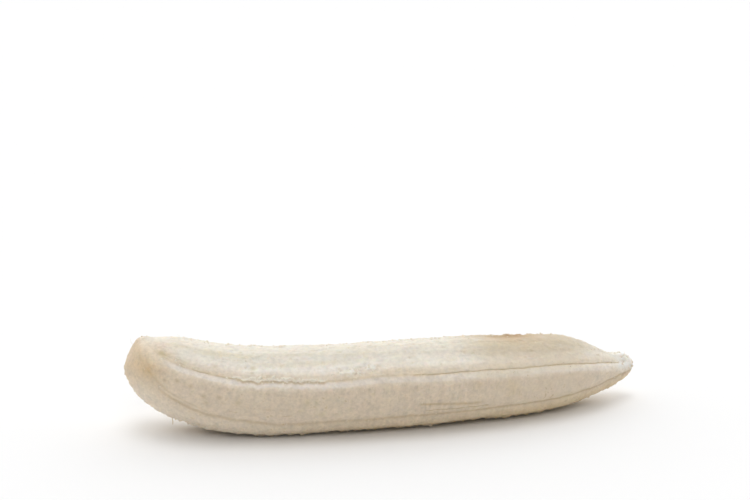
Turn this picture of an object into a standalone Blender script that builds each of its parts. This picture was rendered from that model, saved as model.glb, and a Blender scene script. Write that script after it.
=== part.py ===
"""Peeled banana lying on its side, as one closed body of flesh.

Metres, +Z up. The blunt stem end is at -X and curls up off the surface, the small stub of the
blossom end is at +X, and the hollow side of the bend faces +Y. The origin is at the middle of the
box's bottom face, and the lowest part of the underside is pressed flat at Z = 0.
"""

import math

import bmesh
import bpy
from mathutils import Vector

NAME = "banana_flesh"
COLLECTION = "peeled_banana"

# Spine: the line through the middle of the flesh, measured from the stem end.
SPINE_LENGTH = 0.1875
BOW = math.radians(30)              # turn of the whole length, seen from above
ARCH = math.radians(12)             # slow droop of the whole length, seen from the side
RISE = math.radians(0.5)            # lift of the middle's heading
STEM_CLIMB = math.radians(77.5)     # extra turn of the stem end upward
STEM_VEER = math.radians(25)        # extra turn of the stem end away from the near side
STEM_REACH = 0.0182                 # length over which the stem end's turn dies away
TIP_LIFT = math.radians(11)         # the blossom end's stub tips up a little
TIP_REACH = 0.008
SPINE_STEPS = 600

# Girth: the radius along the spine.
BODY_RADIUS = 0.01525
STEM_DOME = 0.060                   # length of the rounding toward the stem end
STEM_FULLNESS = 5
TAPER_END = SPINE_LENGTH - 0.0049   # where the body alone would come to a point
TAPER_POWER = 10
TAPER_FULLNESS = 1.2
STUB_RADIUS = 0.0048                # blunt stub at the blossom end
STUB_CAP = 0.0076                   # length of its rounding
STUB_FULLNESS = 2.5
STUB_BLEND = 4                      # sharpness of the neck between body and stub

# Section: six soft facets. Angles go from the near side (0) up over the top (90).
FACET_NORMALS = [math.radians(angle) for angle in (-80, -20, 48, 98, 150, 210)]
FACET_SHARPNESS = 8
FACET_LEVEL = 1.03                  # mean size of the raw six-sided section

# Seams: six creases where the skin's corners lay, as (at the stem end, middle, blossom end).
SEAMS = [
    [math.radians(angle) for angle in seam]
    for seam in (
        (26, -33, -24),
        (49, 29.5, 32.5),
        (86, 80, 58),
        (140, 136, 88),
        (204, 194, 170),
        (284, 258, 258),
    )
]
SEAM_STEM_REACH = 0.020             # length over which a seam swings round near the stem end
SEAM_TIP_START = 0.4                # share of the length after which it swings to the other end
SEAM_WANDER = math.radians(1.1)
SEAM_WAVE = 0.031
CREASE_DEPTH = 0.00055
CREASE_TIP_DEPTH = 0.00110          # the folds are deepest at the neck of the stub
CREASE_WIDTH = 0.0010
LIP_HEIGHT = 0.00022                # flesh that swells along the upper side of a crease
LIP_OFFSET = 0.0026
RIDGE_HEIGHT = 0.00026              # and along the corner of the facet below it
RIDGE_OFFSET = 0.0036
SWELL_WIDTH = 0.0018
RELIEF_START = 0.006                # the relief fades in over this length from each end

# Unevenness: low swellings and hollows, as (share of the length, section angle, height).
SWELLINGS = [
    (share, math.radians(angle), height)
    for share, angle, height in (
        (0.70, 104, -0.0004),
        (0.86, 104, 0.0009),
        (0.93, 108, -0.0007),
        (0.64, -72, -0.0006),
        (0.26, -72, 0.0005),
        (0.10, -70, -0.0005),
    )
]
SWELLING_LENGTH = 0.010
SWELLING_SPREAD = math.radians(34)

# Mesh columns in one facet, as shares of the way from its seam to the next one up.
COLUMN_SHARES = (0.0, 0.07, 0.17, 0.32, 0.47, 0.62, 0.78, 0.93)
COLUMNS = len(COLUMN_SHARES) * len(SEAMS)
ROWS = 72

FLAT_DEPTH = 0.0009                 # how far the underside is pressed flat

FLESH_COLOUR = (0.76, 0.70, 0.60, 1.0)
FLESH_ROUGHNESS = 0.55


def clear_scene():
    for obj in list(bpy.data.objects):
        bpy.data.objects.remove(obj, do_unlink=True)


def heading(station):
    """Direction of the spine at a distance from the stem end, as (climb, veer)."""
    share = station / SPINE_LENGTH
    curl = math.exp(-station / STEM_REACH)
    lift = TIP_LIFT * math.exp((station - SPINE_LENGTH) / TIP_REACH)
    climb = RISE + ARCH * (0.5 - share) - STEM_CLIMB * curl + lift
    veer = BOW * (share - 0.5) - STEM_VEER * curl
    return climb, veer


def frame_at(station):
    """Unit vectors (along, near side, top side) of the spine."""
    climb, veer = heading(station)
    level = Vector((math.cos(veer), math.sin(veer), 0))
    along = level * math.cos(climb) + Vector((0, 0, math.sin(climb)))
    near = Vector((math.sin(veer), -math.cos(veer), 0))
    return along, near, near.cross(along)


def spine_points():
    """Points along the spine at equal steps, starting at the stem end."""
    step = SPINE_LENGTH / SPINE_STEPS
    points = [Vector((0, 0, 0))]
    for index in range(SPINE_STEPS):
        along = frame_at((index + 0.5) * step)[0]
        points.append(points[-1] + along * step)
    return points


def spine_at(points, station):
    place = min(max(station / SPINE_LENGTH, 0), 1) * SPINE_STEPS
    index = min(int(place), SPINE_STEPS - 1)
    return points[index].lerp(points[index + 1], place - index)


def girth(station):
    """Radius of the flesh: a blunt dome, a long body, and a short stub past a slight neck."""
    dome = 1 - max(1 - station / STEM_DOME, 0) ** STEM_FULLNESS
    taper = 1 - min(station / TAPER_END, 1) ** TAPER_POWER
    body = BODY_RADIUS * math.sqrt(max(dome, 0)) * taper ** (1 / TAPER_FULLNESS)
    if station < SPINE_LENGTH / 2:
        return body
    to_tip = min((SPINE_LENGTH - station) / STUB_CAP, 1)
    stub = STUB_RADIUS * math.sqrt(max(1 - (1 - to_tip) ** STUB_FULLNESS, 0))
    return (body ** STUB_BLEND + stub ** STUB_BLEND) ** (1 / STUB_BLEND)


def facet_factor(angle):
    """Share by which the six-sided section differs from a circle."""
    total = 0
    for normal in FACET_NORMALS:
        total += max(math.cos(angle - normal), 0) ** FACET_SHARPNESS
    return total ** (-1 / FACET_SHARPNESS) / FACET_LEVEL


def seam_angle(seam, station):
    at_stem, middle, at_tip = SEAMS[seam]
    near_stem = math.exp(-station / SEAM_STEM_REACH)
    share = station / SPINE_LENGTH
    near_tip = max((share - SEAM_TIP_START) / (1 - SEAM_TIP_START), 0) ** 2
    wander = SEAM_WANDER * math.sin(station / SEAM_WAVE * math.tau + 2.1 * seam)
    return middle + (at_stem - middle) * near_stem + (at_tip - middle) * near_tip + wander


def column_angle(column, station):
    """Section angle of one mesh column, which keeps its place between two seams."""
    seam, place = divmod(column, len(COLUMN_SHARES))
    start = seam_angle(seam, station)
    if seam + 1 < len(SEAMS):
        end = seam_angle(seam + 1, station)
    else:
        end = seam_angle(0, station) + math.tau
    return start + (end - start) * COLUMN_SHARES[place]


def bump(distance, width):
    return math.exp(-((distance / width) ** 2))


def relief(angle, station, radius):
    """Height of the creases and of the swellings beside them."""
    from_end = min(station, SPINE_LENGTH - station)
    strength = min(from_end / RELIEF_START, 1)
    share = station / SPINE_LENGTH
    depth = CREASE_DEPTH + (CREASE_TIP_DEPTH - CREASE_DEPTH) * share ** 6
    height = 0
    for seam in range(len(SEAMS)):
        turn = math.remainder(angle - seam_angle(seam, station), math.tau)
        distance = turn * radius
        height -= depth * bump(distance, CREASE_WIDTH)
        height += LIP_HEIGHT * bump(distance - LIP_OFFSET, SWELL_WIDTH)
        height += RIDGE_HEIGHT * bump(distance + RIDGE_OFFSET, SWELL_WIDTH)
    return height * strength


def unevenness(angle, station):
    height = 0
    for share, middle, most in SWELLINGS:
        turn = math.remainder(angle - middle, math.tau)
        along = station - share * SPINE_LENGTH
        height += most * bump(turn, SWELLING_SPREAD) * bump(along, SWELLING_LENGTH)
    return height


def surface_point(points, column, station):
    angle = column_angle(column, station)
    radius = girth(station) * facet_factor(angle)
    height = relief(angle, station, radius) + unevenness(angle, station)
    radius += height * min(radius / BODY_RADIUS * 2, 1)
    _, near, top = frame_at(station)
    outward = near * math.cos(angle) + top * math.sin(angle)
    return spine_at(points, station) + outward * radius


def shape_flesh(mesh):
    """Carries a sphere's rows along the spine and its columns round the section."""
    bmesh.ops.create_uvsphere(mesh, u_segments=COLUMNS, v_segments=ROWS, radius=1)
    points = spine_points()
    for vertex in mesh.verts:
        station = SPINE_LENGTH * (1 + vertex.co.z) / 2
        turn = math.atan2(vertex.co.y, vertex.co.x) % math.tau
        column = round(turn / math.tau * COLUMNS) % COLUMNS
        if min(station, SPINE_LENGTH - station) < SPINE_LENGTH * 1e-6:
            vertex.co = spine_at(points, station)
        else:
            vertex.co = surface_point(points, column, station)


def lay_flat(mesh):
    """Turns the chord along X, presses the underside flat and centres the origin."""
    tip = spine_points()[-1]
    chord = math.atan2(tip.y, tip.x)
    turned = [
        Vector((v.co.x * math.cos(chord) + v.co.y * math.sin(chord),
                v.co.y * math.cos(chord) - v.co.x * math.sin(chord),
                v.co.z))
        for v in mesh.verts
    ]
    low = [min(point[axis] for point in turned) for axis in range(3)]
    high = [max(point[axis] for point in turned) for axis in range(3)]
    middle_x = (low[0] + high[0]) / 2
    middle_y = (low[1] + high[1]) / 2
    for vertex, point in zip(mesh.verts, turned):
        height = max(point.z - low[2] - FLAT_DEPTH, 0)
        vertex.co = (point.x - middle_x, point.y - middle_y, height)


def flesh_material():
    material = bpy.data.materials.new(NAME)
    material.use_nodes = True
    surface = material.node_tree.nodes["Principled BSDF"]
    surface.inputs["Base Color"].default_value = FLESH_COLOUR
    surface.inputs["Roughness"].default_value = FLESH_ROUGHNESS
    surface.inputs["Metallic"].default_value = 0.0
    return material


def make_flesh(collection):
    shape = bmesh.new()
    shape_flesh(shape)
    lay_flat(shape)
    bmesh.ops.recalc_face_normals(shape, faces=shape.faces)
    data = bpy.data.meshes.new(NAME)
    shape.to_mesh(data)
    shape.free()
    data.shade_smooth()
    data.materials.append(flesh_material())
    flesh = bpy.data.objects.new(NAME, data)
    collection.objects.link(flesh)
    return flesh


def main():
    clear_scene()
    collection = bpy.data.collections.new(COLLECTION)
    bpy.context.scene.collection.children.link(collection)
    make_flesh(collection)


main()
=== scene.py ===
"""Looks of a peeled banana: its creased, cottony flesh and the loose bits and strings on it.

Metres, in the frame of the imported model. Stations are distances along the spine from the stem
end. Section angles go from the near side (0) up over the top (90 degrees).
"""

import math

import bmesh
import bpy
from mathutils import Euler, Matrix, Vector


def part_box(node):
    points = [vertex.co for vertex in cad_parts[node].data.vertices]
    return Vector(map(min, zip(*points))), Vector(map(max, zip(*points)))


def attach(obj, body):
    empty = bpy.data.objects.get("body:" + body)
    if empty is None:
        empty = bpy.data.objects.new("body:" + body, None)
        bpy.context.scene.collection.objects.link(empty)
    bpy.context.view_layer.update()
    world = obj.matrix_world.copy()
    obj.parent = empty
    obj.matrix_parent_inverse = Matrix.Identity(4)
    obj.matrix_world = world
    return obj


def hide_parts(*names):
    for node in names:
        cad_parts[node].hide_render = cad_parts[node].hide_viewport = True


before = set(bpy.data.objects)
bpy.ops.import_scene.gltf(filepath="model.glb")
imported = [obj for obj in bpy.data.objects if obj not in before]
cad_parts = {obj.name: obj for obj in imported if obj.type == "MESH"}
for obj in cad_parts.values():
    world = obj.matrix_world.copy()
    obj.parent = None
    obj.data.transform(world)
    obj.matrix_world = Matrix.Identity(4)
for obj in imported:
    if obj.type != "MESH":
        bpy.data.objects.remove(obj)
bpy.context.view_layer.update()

FLESH_NODE = "banana_flesh"
FLESH_LOW, FLESH_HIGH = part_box(FLESH_NODE)
BODY = "root"
MM = 0.001

# Spine of the flesh, as in the solid.
SPINE_LENGTH = 0.1875
BOW = math.radians(30)
ARCH = math.radians(12)
RISE = math.radians(0.5)
STEM_CLIMB = math.radians(77.5)
STEM_VEER = math.radians(25)
STEM_REACH = 0.0182
TIP_LIFT = math.radians(11)
TIP_REACH = 0.008
SPINE_STEPS = 600

# Girth and section.
BODY_RADIUS = 0.01525
STEM_DOME = 0.060
STEM_FULLNESS = 5
TAPER_END = SPINE_LENGTH - 0.0049
TAPER_POWER = 10
TAPER_FULLNESS = 1.2
STUB_RADIUS = 0.0048
STUB_CAP = 0.0076
STUB_FULLNESS = 2.5
STUB_BLEND = 4
FACET_NORMALS = [math.radians(angle) for angle in (-80, -20, 48, 98, 150, 210)]
FACET_SHARPNESS = 8
FACET_LEVEL = 1.03
FLAT_DEPTH = 0.0009

# Creases where the skin's corners lay, as section angles (stem end, middle, blossom end).
SEAMS = (
    (26, -33, -24),
    (49, 29.5, 32.5),
    (86, 80, 58),
    (140, 136, 88),
    (204, 194, 170),
    (284, 258, 258),
)
NEAR_LOW, NEAR_HIGH = 0, 1
SEAM_STEM_REACH = 0.020
SEAM_TIP_START = 0.4
SEAM_WANDER = math.radians(0.6)
SEAM_WAVE = 0.031
# How far, in degrees, the two near creases drift off that course along the share of the length.
SEAM_DRIFTS = (
    ((0.12, 0), (0.17, -2.5), (0.35, -3.5), (0.42, -0.5), (0.9, 0)),
    ((0.1, 0), (0.2, -0.8), (0.35, -1.2), (0.385, -2.6), (0.44, -0.6), (0.5, -0.8), (0.56, -2.4),
     (0.67, -3.6), (0.75, -2.9), (0.82, -3.0), (0.95, -1.6)),
)
CREASE_DEPTH = 0.00055
CREASE_WIDTH = 0.0010
RIDGE_HEIGHT = 0.00026
RIDGE_OFFSET = 0.0036
SWELL_WIDTH = 0.0018
LIP_HEIGHT = 0.00022
LIP_OFFSET = 0.0026
RELIEF_START = 0.006
# For each crease, along the share of the length: how strong its valley, its thin groove, the lip
# above it and the ridge below it are.
CREASES = (
    {
        "valley": ((0, 0), (0.15, 0.2), (0.5, 0.4), (0.75, 0.6), (1, 0.9)),
        "groove": ((0.04, 0), (0.15, 0.1), (0.5, 0.15), (0.75, 0.35), (1, 0.5)),
        "lip": ((0, 0), (0.25, 0.7), (1, 1)),
        "ridge": ((0, 0), (0.25, 0.8), (1, 1)),
    },
    {
        "valley": ((0, 0.1), (0.2, 0.25), (0.36, 0.2), (0.42, 0.06), (0.53, 0.06), (0.57, 0.3),
                   (1, 0.7)),
        "groove": ((0.02, 0), (0.1, 0.12), (0.2, 0.15), (0.37, 0.1), (0.42, 0.02), (0.53, 0.02),
                   (0.56, 0.45), (0.93, 0.45), (0.97, 0.1)),
        "lip": ((0, 0), (0.5, 0), (0.6, 0.5), (1, 0.6)),
        "ridge": ((0, 0.8), (0.1, 1.4), (0.4, 1.5), (0.5, 0.8), (1, 1)),
    },
    {
        "valley": ((0, 0.1), (0.7, 0.08), (1, 0.3)),
        "groove": ((0, 0.1), (0.8, 0.1), (1, 0.25)),
        "lip": ((0, 0), (0.7, 0), (1, 0.3)),
        "ridge": ((0, 0.2), (0.7, 0.2), (1, 0.3)),
    },
    {
        "valley": ((0, 0.3), (0.5, 0.5), (1, 0.8)),
        "groove": ((0, 0.3), (0.5, 0.7), (1, 0.8)),
        "lip": ((0, 0.4), (1, 0.8)),
        "ridge": ((0, 0.3), (1, 0.8)),
    },
    {
        "valley": ((0, 0.2), (0.4, 0.9), (1, 0.9)),
        "groove": ((0, 0.3), (0.4, 0.9), (1, 1)),
        "lip": ((0, 0.6), (1, 1)),
        "ridge": ((0, 0.6), (1, 1)),
    },
    {
        "valley": ((0, 0.2), (0.4, 0.9), (1, 0.9)),
        "groove": ((0, 0.3), (0.4, 0.8), (1, 1)),
        "lip": ((0, 0.6), (1, 1)),
        "ridge": ((0, 0.6), (1, 1)),
    },
)
GROOVE_DEPTH = 0.0003
GROOVE_WIDTH = 0.00022
# The near high crease is torn along part of its length: start and end share, and how it fades.
TORN_SPAN = (0.215, 0.362, 0.012)
TORN_STEP = 0.00014
TORN_REACH = 0.0012
TORN_EDGE_REACH = 0.1 * MM
CURL_OFFSET = 0.4 * MM
CURL_WIDTH = 0.35 * MM
CURL_HEIGHT = 0.13 * MM
SCALLOP_LENGTH = 0.0056
SCALLOP_DROP = 0.0008
# A patch of crumpled strands above the same crease, past the tear.
CRUMPLE_SPAN = (0.385, 0.46, 0.012)
CRUMPLE_OFFSET = 0.0029
CRUMPLE_WAVES = 330
CRUMPLE_HEIGHT = 0.0012
# Relief of the cottony surface: waves a metre, height, and how much higher on rough places.
COTTON_WAVES = 430
COTTON_HEIGHT = 0.13 * MM
COTTON_EXTRA = 0.24 * MM
GRAIN_WAVES = 1000
GRAIN_HEIGHT = 0.09 * MM
GRAIN_EXTRA = 0.2 * MM
SLOW_WAVES = 110
SLOW_HEIGHT = 0.5 * MM
FIBRE_WAVES = 620
FIBRE_HEIGHT = 0.05 * MM
PIT_WAVES = 560
PIT_DEPTH = 0.14 * MM
LUMP_WAVES = 250
STEM_LUMP_HEIGHT = 0.35 * MM
TIP_LUMP_HEIGHT = 1.1 * MM
# Low raised scar where the stem broke off.
SCAR_RADIUS = 0.0034
SCAR_HEIGHT = 0.00045
# Fuller places under the stem end and the blossom end.
SHOULDER_HEIGHT = 0.0011
CHIN_SHARE = 0.951
CHIN_HEIGHT = 0.0014
# The upper corner of the stem end is pushed in: how far, and between which heights and lengths.
CORNER_PUSH = 0.0014
CORNER_HEIGHTS = (0.0225, 0.0285)
CORNER_LENGTHS = (-0.0860, -0.0915)
# The blossom end is cut off askew: how far the cut leans, and where it starts over the spine's end.
CUT_LEAN = math.radians(32)
CUT_START = (0.0, 0.0003)
CUT_DEPTH = 0.85

# Low swellings and hollows, as (share of the length, section angle, height).
SWELLINGS = (
    (0.70, 104, -0.0004),
    (0.86, 104, 0.0009),
    (0.93, 108, -0.0007),
    (0.64, -72, -0.0006),
    (0.26, -72, 0.0005),
    (0.12, -70, -0.0006),
    (0.05, -80, 0.0007),
)
SWELLING_LENGTH = 0.010
SWELLING_SPREAD = 34


# ---------------- node trees as arithmetic

def arithmetic(operation, turned_round=False):
    """An operator of Value, with its two sides swapped if turned round."""
    def operator(self, other):
        sides = (other, self) if turned_round else (self, other)
        return self.graph.combine(operation, *sides)
    return operator


class Value:
    """A node's output that takes part in Python arithmetic, as a number or as a vector."""

    def __init__(self, graph, socket):
        self.graph = graph
        self.socket = socket

    __add__ = __radd__ = arithmetic("ADD")
    __sub__ = arithmetic("SUBTRACT")
    __rsub__ = arithmetic("SUBTRACT", turned_round=True)
    __mul__ = __rmul__ = arithmetic("MULTIPLY")
    __truediv__ = arithmetic("DIVIDE")


class Graph:
    """Adds nodes to one node tree."""

    def __init__(self, tree):
        self.tree = tree

    def node(self, kind, settings=None, **sockets):
        """Adds a node, sets its settings, and then sets or links its sockets by name."""
        node = self.tree.nodes.new(kind)
        for name, setting in (settings or {}).items():
            setattr(node, name, setting)
        for name, value in sockets.items():
            self.feed(shown_socket(node.inputs, name.replace("_", " ")), value)
        return node

    def feed(self, socket, value):
        if isinstance(value, Value):
            self.tree.links.new(value.socket, socket)
        else:
            socket.default_value = value

    def out(self, kind, settings=None, output=None, **sockets):
        """The same node, as one of its outputs."""
        node = self.node(kind, settings, **sockets)
        return Value(self, shown_socket(node.outputs, output))

    def operate(self, kind, operation, values, **named):
        node = self.node(kind, {"operation": operation}, **named)
        for socket, value in zip(node.inputs, values):
            self.feed(socket, value)
        return Value(self, shown_socket(node.outputs, None))

    def maths(self, operation, *values):
        return self.operate("ShaderNodeMath", operation, values)

    def vector(self, operation, *values, **named):
        return self.operate("ShaderNodeVectorMath", operation, values, **named)

    def combine(self, operation, first, second):
        vectors = [is_vector(value) for value in (first, second)]
        if not any(vectors):
            return self.maths(operation, first, second)
        if operation == "MULTIPLY" and not all(vectors):
            vector, number = (first, second) if vectors[0] else (second, first)
            return self.vector("SCALE", vector, Scale=number)
        return self.vector(operation, first, second)

    def join(self, x, y, z):
        return self.out("ShaderNodeCombineXYZ", X=x, Y=y, Z=z)

    def split(self, vector):
        node = self.node("ShaderNodeSeparateXYZ", Vector=vector)
        return [Value(self, socket) for socket in node.outputs]

    def noise(self, vector, scale, detail, roughness=0.5):
        """Noise round 0, mostly within 0.5 either way, at this many waves a metre."""
        noise = self.out("ShaderNodeTexNoise", Vector=vector, Scale=scale,
                         Detail=detail, Roughness=roughness)
        return (noise - 0.5) * 2

    def waver(self, number, scale, seed):
        """Noise along one line, round 0."""
        noise = self.out("ShaderNodeTexNoise", {"noise_dimensions": "1D"},
                         W=number + seed, Scale=scale, Detail=2.0)
        return (noise - 0.5) * 2

    def blend(self, share, first, second):
        """A colour that goes from the first to the second."""
        return self.out("ShaderNodeMix", {"data_type": "RGBA"}, Factor=share, A=first, B=second)


def shown_socket(sockets, name):
    """The first socket in use that has this name, or the first in use at all."""
    for socket in sockets:
        if socket.enabled and name in (None, socket.name):
            return socket
    raise KeyError(f"no socket {name} among {[socket.name for socket in sockets]}")


def is_vector(value):
    if isinstance(value, Value):
        return value.socket.type in ("VECTOR", "RGBA")
    return isinstance(value, (tuple, Vector))


def kind_of(value):
    return "FLOAT_VECTOR" if is_vector(value) else "FLOAT"


NUMBER_MATHS = {
    "SINE": math.sin,
    "COSINE": math.cos,
    "EXPONENT": math.exp,
    "MINIMUM": min,
    "MAXIMUM": max,
    "POWER": pow,
    "WRAP": lambda value, high, low: (value - low) % (high - low) + low,
}


def on(operation, *values):
    """A Math node on these values, or the result itself where they are all plain numbers."""
    for value in values:
        if isinstance(value, Value):
            return value.graph.maths(operation, *values)
    return NUMBER_MATHS[operation](*values)


def clamp(value, low=0.0, high=1.0):
    return on("MINIMUM", on("MAXIMUM", value, low), high)


def bump(distance, width):
    """A smooth hump, 1 in its middle."""
    ratio = distance / width
    return on("EXPONENT", ratio * ratio * -1)


def rise(value, start, end):
    """Goes smoothly from 0 at the start to 1 at the end."""
    share = clamp((value - start) / (end - start))
    return share * share * (3 - share * 2)


def within(value, start, end, edge):
    """1 between start and end, easing to 0 over the edge outside them."""
    return rise(value, start - edge, start) * (1 - rise(value, end, end + edge))


def around(angle, middle, spread):
    """A smooth hump round a section angle, both in degrees."""
    return bump(turn_from(angle, math.radians(middle)), math.radians(spread))


def profile(value, points):
    """Eases through (value, result) points."""
    result = points[0][1]
    for (start, before), (end, after) in zip(points, points[1:]):
        if after != before:
            result = rise(value, start, end) * (after - before) + result
    return result


# ---------------- form of the flesh

def heading(station):
    """Direction of the spine at a distance from the stem end, as (climb, veer)."""
    share = station / SPINE_LENGTH
    curl = math.exp(-station / STEM_REACH)
    lift = TIP_LIFT * math.exp((station - SPINE_LENGTH) / TIP_REACH)
    climb = RISE + ARCH * (0.5 - share) - STEM_CLIMB * curl + lift
    veer = BOW * (share - 0.5) - STEM_VEER * curl
    return climb, veer


def along_at(station):
    climb, veer = heading(station)
    level = Vector((math.cos(veer), math.sin(veer), 0))
    return level * math.cos(climb) + Vector((0, 0, math.sin(climb)))


def raw_spine():
    """Points along the spine at equal steps, with the line between its ends turned along X."""
    step = SPINE_LENGTH / SPINE_STEPS
    points = [Vector((0, 0, 0))]
    for index in range(SPINE_STEPS):
        points.append(points[-1] + along_at((index + 0.5) * step) * step)
    tip = points[-1]
    turn = Matrix.Rotation(-math.atan2(tip.y, tip.x), 3, "Z")
    return [turn @ point for point in points]


def girth(station):
    """Radius of the flesh: a blunt dome, a long body, and a short stub past a slight neck."""
    dome = 1 - on("POWER", on("MAXIMUM", 1 - station / STEM_DOME, 0), STEM_FULLNESS)
    taper = 1 - on("POWER", on("MINIMUM", station / TAPER_END, 1), TAPER_POWER)
    body = on("POWER", on("MAXIMUM", dome, 0), 0.5) * on("POWER", taper, 1 / TAPER_FULLNESS)
    body = body * BODY_RADIUS
    to_tip = clamp((SPINE_LENGTH - station) / STUB_CAP)
    cap = 1 - on("POWER", 1 - to_tip, STUB_FULLNESS)
    stub = on("POWER", on("MAXIMUM", cap, 0), 0.5) * STUB_RADIUS
    stub = stub * rise(station, 0.4 * SPINE_LENGTH, 0.6 * SPINE_LENGTH)
    total = on("POWER", body, STUB_BLEND) + on("POWER", stub, STUB_BLEND)
    return on("POWER", total, 1 / STUB_BLEND)


def facet_factor(angle):
    """Share by which the six-sided section differs from a circle."""
    total = 0
    for normal in FACET_NORMALS:
        facing = on("MAXIMUM", on("COSINE", angle - normal), 0)
        total = on("POWER", facing, FACET_SHARPNESS) + total
    return on("POWER", total, -1 / FACET_SHARPNESS) / FACET_LEVEL


def seam_angle(seam, station):
    at_stem, middle, at_tip = (math.radians(angle) for angle in SEAMS[seam])
    near_stem = on("EXPONENT", station / -SEAM_STEM_REACH)
    share = station / SPINE_LENGTH
    near_tip = on("MAXIMUM", (share - SEAM_TIP_START) / (1 - SEAM_TIP_START), 0)
    wander = on("SINE", station * (math.tau / SEAM_WAVE) + 2.1 * seam) * SEAM_WANDER
    swing = near_stem * (at_stem - middle) + near_tip * near_tip * (at_tip - middle)
    if seam < len(SEAM_DRIFTS):
        swing = swing + profile(share, SEAM_DRIFTS[seam]) * math.radians(1)
    return swing + wander + middle


def turn_from(angle, middle):
    """Signed angle from the middle, taken the short way round."""
    return on("WRAP", angle - middle, math.pi, -math.pi)


def unevenness(angle, station):
    height = 0
    for share, middle, most in SWELLINGS:
        swelling = around(angle, middle, SWELLING_SPREAD)
        swelling = swelling * bump(station - share * SPINE_LENGTH, SWELLING_LENGTH)
        height = swelling * most + height
    return height


def relief_strength(station, radius):
    from_end = on("MINIMUM", station, SPINE_LENGTH - station)
    return clamp(from_end / RELIEF_START) * on("MINIMUM", radius / BODY_RADIUS * 2, 1)


def broad_relief(angle, station, radius):
    """Swellings beside the creases, and the flesh's low unevenness."""
    height = unevenness(angle, station)
    share = station / SPINE_LENGTH
    for seam in range(len(SEAMS)):
        distance = turn_from(angle, seam_angle(seam, station)) * radius
        lip = profile(share, CREASES[seam]["lip"]) * LIP_HEIGHT
        ridge = profile(share, CREASES[seam]["ridge"]) * RIDGE_HEIGHT
        height = bump(distance - LIP_OFFSET, SWELL_WIDTH) * lip + height
        height = bump(distance + RIDGE_OFFSET, SWELL_WIDTH) * ridge + height
    return height * relief_strength(station, radius)


def smooth_radius(angle, station):
    radius = girth(station) * facet_factor(angle)
    return radius + broad_relief(angle, station, radius)


def sides_at(along):
    """Unit vectors (near side, top side) square to the spine's direction."""
    near = along.cross(Vector((0, 0, 1))).normalized()
    return near, near.cross(along)


def spine_at(points, station):
    place = min(max(station / SPINE_LENGTH, 0), 1) * SPINE_STEPS
    index = min(int(place), SPINE_STEPS - 1)
    along = (points[index + 1] - points[index]).normalized()
    return points[index].lerp(points[index + 1], place - index), along


def skin_place(points, station, angle):
    """Point on the smooth form, in plain numbers."""
    middle, along = spine_at(points, station)
    near, top = sides_at(along)
    outward = near * math.cos(angle) + top * math.sin(angle)
    return middle + outward * smooth_radius(angle, station)


def placed_spine():
    """The spine, moved so that the form round it fills the solid's box."""
    points = raw_spine()
    samples = [
        skin_place(points, SPINE_LENGTH * row / 90, math.tau * column / 60)
        for row in range(1, 90)
        for column in range(60)
    ]
    samples.extend((points[0], points[-1]))
    low = Vector(min(point[axis] for point in samples) for axis in range(3))
    high = Vector(max(point[axis] for point in samples) for axis in range(3))
    shift = (FLESH_LOW + FLESH_HIGH) / 2 - (low + high) / 2
    shift.z = FLESH_LOW.z - low.z - FLAT_DEPTH
    return [point + shift for point in points]


SPINE = placed_spine()


# ---------------- geometry node trees

VECTOR_FIELDS = ("straight", "outward")


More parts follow.
